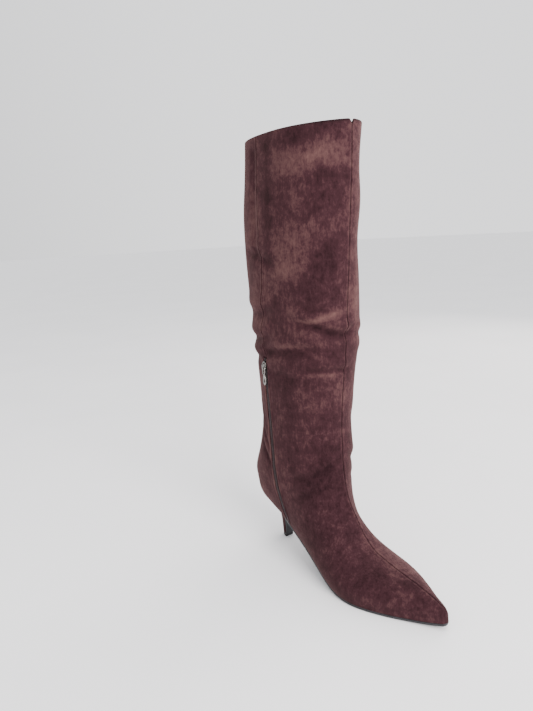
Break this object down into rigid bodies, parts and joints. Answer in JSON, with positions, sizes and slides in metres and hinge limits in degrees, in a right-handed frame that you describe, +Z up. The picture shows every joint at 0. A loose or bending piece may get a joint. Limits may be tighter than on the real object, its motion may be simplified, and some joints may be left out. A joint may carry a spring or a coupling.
{
  "type": "knee-high boot",
  "caption": "Slim knee-high suede boot for the left foot, with a pointed toe, a covered stiletto heel and a half-length zip on its inner side.",
  "frame": {"origin": "centre of the heel tip's face, on the floor the boot stands on", "axes": "+X towards the outer (little-toe) side, -Y towards the toe, +Z up the leg"},
  "size_m": [0.0905, 0.259, 0.469],
  "materials": {
    "suede": "matt brushed nap",
    "heel_suede": "matt brushed nap over a hard heel",
    "sole_black": "satin",
    "tip_black": "satin",
    "lining_brown": "matt",
    "tape_cloth": "matt",
    "coil_plastic": "satin",
    "slider_nickel": "polished nickel",
    "pull_nickel": "polished nickel"
  },
  "bodies": {
    "body": {"upper": "suede", "insole": "lining_brown", "outsole": "sole_black", "heel": "heel_suede", "top_lift": "tip_black", "zip_tape": "tape_cloth", "zip_coil": "coil_plastic", "zip_slider": "slider_nickel"},
    "pull": {"zip_pull": "pull_nickel"}
  },
  "joints": [
    {"name": "pull_hinge", "type": "hinge", "parent": "body", "child": "pull", "pos_m": [-0.04453, -0.02931, 0.2282], "axis": [0.1275, 0.991, -0.04], "range_deg": [0, 150]}
  ]
}
